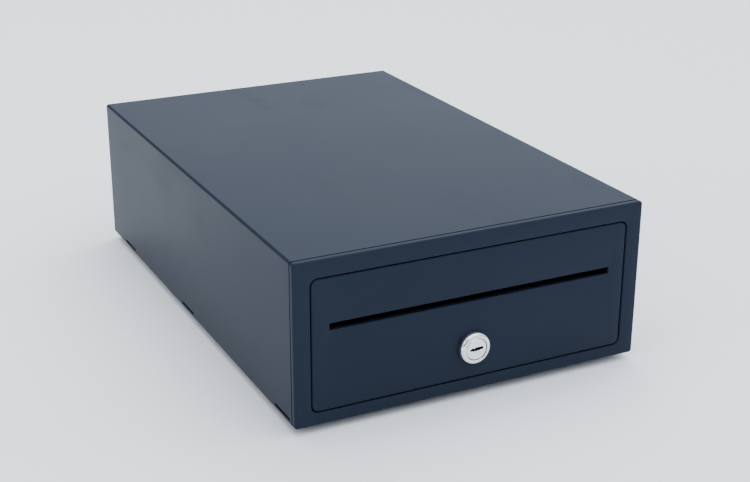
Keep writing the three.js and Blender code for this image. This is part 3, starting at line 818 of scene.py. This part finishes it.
BALL_RADIUS = 1.7 * MM
BALLS_PER_ROW = 5


def ball_rows():
    """Two rows of steel balls in each cage, running between the fixed and the moving rail."""
    for side in ("left", "right"):
        node = f"ball_cage_{side}"
        bm = bmesh.new()
        lowest, highest = low(node), high(node)
        pitch = (highest.y - lowest.y) / BALLS_PER_ROW
        for z in (lowest.z + 0.4 * MM, highest.z - 0.4 * MM):
            for number in range(BALLS_PER_ROW):
                ball = bmesh.ops.create_uvsphere(bm, u_segments=16, v_segments=10, radius=BALL_RADIUS)
                at = Vector((middle(node).x, lowest.y + (number + 0.5) * pitch, z))
                bmesh.ops.translate(bm, vec=at, verts=ball["verts"])
        finished(f"slide_balls_{side}", bm, BODY_OF[node], "spring_steel", 60)


ball_rows()


# ---- springs, pins and axle -----------------------------------------------------------------------


def spring(node, name, wire, turns, axis):
    """A compression spring that fills its node's length, with a closed turn at each end."""
    bm = bmesh.new()
    axis = Vector(axis)
    lowest, highest = low(node), high(node)
    length = (highest - lowest).dot(axis)
    radius = min(highest - lowest) / 2 - wire
    closed = 2.05 * wire
    start = middle(node) - axis * (length / 2 - wire)
    pitch = (length - 2 * wire - 2 * closed) / (turns - 2)
    coil(bm, start, axis, radius, wire, [(1, closed), (turns - 2, pitch), (1, closed)])
    return standing_for(node, name, bm, 60)


def springs():
    spring("kick_spring", "kick_coil", 0.85 * MM, 9, (0, 1, 0))
    latch_coil = spring("latch_spring", "latch_coil", 0.3 * MM, 26, (1, 0, 0))
    anchor = middle("latch_spring")
    anchor.x = low("latch_spring").x
    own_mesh(latch_coil)
    for number in (1, 2, 3):
        spring(f"clip_spring_{number}", f"clip_coil_{number}", 0.55 * MM, 10, (1, 0, 0))


def pivot_pin(node, name, stem, washer, head):
    """A turned pin along Z: a washer at its foot, a plain stem and a flat head, all with eased rims."""
    bm = bmesh.new()
    radius, bottom, top = (high(node).x - low(node).x) / 2, low(node).z, high(node).z
    foot = rimmed(radius, bottom, bottom + washer, 0.2 * MM) if washer else []
    spun(bm, [
        (0, bottom), *foot, (stem, bottom + washer), (stem, top - head),
        *rimmed(radius, top - head, top, 0.25 * MM), (0, top)], (middle(node).x, middle(node).y, 0), sides=32)
    standing_for(node, name, bm)


def clip_rod():
    """The note clips' rod, with domed ends that sit in the till's walls."""
    bm = bmesh.new()
    at, reach = middle("clip_axle"), (high("clip_axle").x - low("clip_axle").x) / 2
    radius = 2 * MM
    end = [(radius * math.sin(turn), reach - 0.5 * radius * (1 - math.cos(turn))) for turn in quarter(4)]
    spun(bm, [(across, -along) for across, along in end] + end[::-1], tuple(at), (1, 0, 0), 24)
    standing_for("clip_axle", "clip_rod", bm)


springs()
pivot_pin("latch_pivot", "latch_pin", 2.5 * MM, 1.4 * MM, 1.4 * MM)
pivot_pin("lever_pivot", "lever_pin", 3 * MM, 0, 0.9 * MM)
clip_rod()


# ---- note clips -----------------------------------------------------------------------------------

CLIP_TILT = math.radians(51)
CLIP_REACH = 64 * MM
CLIP_HUB, CLIP_BORE = 4 * MM, 2.3 * MM
CLIP_ROOT, CLIP_TIP = 7 * MM, 5 * MM
CLIP_NARROWS, CLIP_NARROW = -9 * MM, -20 * MM
STRIP_LOW, STRIP_HIGH = 2.0 * MM, 3.2 * MM
HUB_HALF = 8 * MM
TOE_RADIUS, TOE_HALF = 2.6 * MM, 12 * MM


def note_clip(number):
    """A sprung clip lying level, hub at the origin: a curled hub, a ribbed strip and a rolled toe."""
    node = f"note_clip_{number}"
    bm = bmesh.new()
    arm = outline(bm, [
        (-CLIP_ROOT, 0), (-CLIP_ROOT, CLIP_NARROWS), (-CLIP_TIP, CLIP_NARROW), (-CLIP_TIP, -CLIP_REACH),
        (CLIP_TIP, -CLIP_REACH), (CLIP_TIP, CLIP_NARROW), (CLIP_ROOT, CLIP_NARROWS), (CLIP_ROOT, 0)])
    bmesh.ops.translate(bm, vec=(0, 0, STRIP_LOW), verts=bm.verts)
    face = bmesh.ops.contextual_create(bm, geom=arm)["faces"][0]
    made = bmesh.ops.extrude_face_region(bm, geom=[face])["geom"]
    top = faces_of(made)[0]
    bmesh.ops.translate(bm, vec=(0, 0, STRIP_HIGH - STRIP_LOW), verts=list(top.verts))
    bmesh.ops.inset_individual(bm, faces=[top], thickness=2.2 * MM, depth=0)
    bmesh.ops.inset_individual(bm, faces=[top], thickness=0.5 * MM, depth=-0.5 * MM)
    bmesh.ops.recalc_face_normals(bm, faces=bm.faces)
    hub = bmesh.new()
    spun(hub, [
        (CLIP_BORE, -HUB_HALF), *rimmed(CLIP_HUB, -HUB_HALF, HUB_HALF, 0.3 * MM), (CLIP_BORE, HUB_HALF),
        (CLIP_BORE, -HUB_HALF)], (0, 0, 0), (1, 0, 0), 32)
    toe = bmesh.new()
    end = [
        (TOE_RADIUS * math.sin(turn), TOE_HALF - 0.6 * TOE_RADIUS * (1 - math.cos(turn)))
        for turn in quarter(5)]
    profile = [(across, -along) for across, along in end] + end[::-1]
    spun(toe, profile, (0, -CLIP_REACH, 0.6 * MM), (1, 0, 0), 24)
    added(added(bm, hub), toe)
    at = middle("clip_axle")
    at.x = middle(node).x
    place = Matrix.Translation(at) @ Matrix.Rotation(CLIP_TILT, 4, "X")
    bmesh.ops.transform(bm, matrix=place, verts=bm.verts)
    round_edges(standing_for(node, f"note_weight_{number}", bm), 0.2 * MM)


for number in (1, 2, 3):
    note_clip(number)


# ---- solenoid, socket and leads ------------------------------------------------------------------

COIL_BORE = 4 * MM
WINDING_RADIUS = 7.1 * MM
WINDING_PITCH = 0.55 * MM
FLANGE = 1.6 * MM


def solenoid_winding():
    """Lacquered wire wound on a bobbin: a ridge for each turn between two plastic flanges."""
    start, end = low("solenoid_coil"), high("solenoid_coil")
    at = middle("solenoid_coil")
    length, radius = end.x - start.x, (end.z - start.z) / 2
    at.x = start.x
    turns = int((length - 2 * FLANGE) / WINDING_PITCH)
    pitch = (length - 2 * FLANGE) / turns
    ridges = [
        (WINDING_RADIUS + height, FLANGE + pitch * (turn + part))
        for turn in range(turns) for part, height in ((0, 0), (0.5, 0.18 * MM))]
    first, last = FLANGE, length - FLANGE
    inner = COIL_BORE + 0.5 * MM
    winding = bmesh.new()
    spun(winding, [(inner, first), *ridges, (WINDING_RADIUS, last), (inner, last), (inner, first)],
         tuple(at), (1, 0, 0), 40)
    standing_for("solenoid_coil", "coil_winding", winding, 75)
    bobbin = bmesh.new()
    spun(bobbin, [
        (COIL_BORE, 0), *rimmed(radius, 0, FLANGE, 0.25 * MM), (inner, FLANGE), (inner, last),
        *rimmed(radius, last, length, 0.25 * MM), (COIL_BORE, length), (COIL_BORE, 0)],
        tuple(at), (1, 0, 0), 40)
    finished("coil_bobbin", bobbin, "case", "black_plastic")


SOCKET_CONTACTS = 6
CONTACT_HALF, CONTACT_HEIGHT = 0.35 * MM, 0.35 * MM
CONTACT_SLOPE = math.radians(-9)


def socket_contacts():
    """Six sprung contacts in the release cord's socket, thin strips that slope up from its floor."""
    bm = bmesh.new()
    start, end = low("cable_socket"), high("cable_socket")
    first, last = start.x + 3.6 * MM, end.x - 3.6 * MM
    floor_z = start.z + 4.1 * MM
    for number in range(SOCKET_CONTACTS):
        x = first + (last - first) * number / (SOCKET_CONTACTS - 1)
        strip = bmesh.new()
        root = end.y - 2 * MM
        block(strip, (x - CONTACT_HALF, start.y + 2.2 * MM, floor_z),
              (x + CONTACT_HALF, root, floor_z + CONTACT_HEIGHT), 0.1 * MM)
        slope = Matrix.Rotation(CONTACT_SLOPE, 3, "X")
        bmesh.ops.rotate(strip, cent=(x, root, floor_z), matrix=slope, verts=strip.verts)
        added(bm, strip)
    finished("socket_contacts", bm, "case", "cage_brass")


# The leads' route in metres, from the socket to the solenoid's end plate.
LEAD_ROUTE = [
    (-0.053, 0.165, 0.057), (-0.053, 0.161, 0.057), (-0.057, 0.154, 0.055), (-0.062, 0.150, 0.050),
    (-0.066, 0.152, 0.046), (-0.067, 0.155, 0.0446)]
LEAD_STEPS = 10
LEAD_TWISTS = 3
LEAD_RADIUS = 0.52 * MM
LEAD_SPREAD = 1.08  # how far a lead's middle is from the route, in lead radii


def smooth_route(points, steps):
    """A smooth line through the points, a row of short steps between each two of them."""
    points = [Vector(point) for point in points]
    padded = [points[0] * 2 - points[1], *points, points[-1] * 2 - points[-2]]
    route = []
    for before, start, end, after in zip(padded, padded[1:], padded[2:], padded[3:]):
        for step in range(steps):
            t = step / steps
            route.append((
                start * 2 + (end - before) * t + (before * 2 - start * 5 + end * 4 - after) * t ** 2
                + (start * 3 - before - end * 3 + after) * t ** 3) / 2)
    return route + [points[-1]]


def twisted_leads():
    """Two insulated leads twisted round each other along the route."""
    bm = bmesh.new()
    middle_line = smooth_route(LEAD_ROUTE, LEAD_STEPS)
    onward = middle_line[1:] + [middle_line[-1] * 2 - middle_line[-2]]
    for start_angle in (0, math.pi):
        route = []
        for number, (here, there) in enumerate(zip(middle_line, onward)):
            way = (there - here).normalized()
            side = way.cross(Vector((0, 0, 1))).normalized()
            angle = start_angle + 2 * math.pi * LEAD_TWISTS * number / len(middle_line)
            out = side * math.cos(angle) + side.cross(way) * math.sin(angle)
            route.append(here + out * LEAD_RADIUS * LEAD_SPREAD)
        one = bmesh.new()
        lead(one, route, LEAD_RADIUS)
        added(bm, one)
    standing_for("wire_harness", "twisted_leads", bm, 60)


solenoid_winding()
socket_contacts()
twisted_leads()


# ---- the set ---------------------------------------------------------------------------------------

add_camera()
add_studio()

floor_mesh = bpy.data.meshes.new("floor")
floor_bm = bmesh.new()
bmesh.ops.create_grid(floor_bm, x_segments=1, y_segments=1, size=6)
floor_bm.to_mesh(floor_mesh)
floor_bm.free()
floor = bpy.data.objects.new("floor", floor_mesh)
bpy.context.scene.collection.objects.link(floor)
floor_finish = Finish("pale_floor")
floor_finish.set(base_color=(0.92, 0.92, 0.92), roughness=0.9)
floor_mesh.materials.append(floor_finish.material)
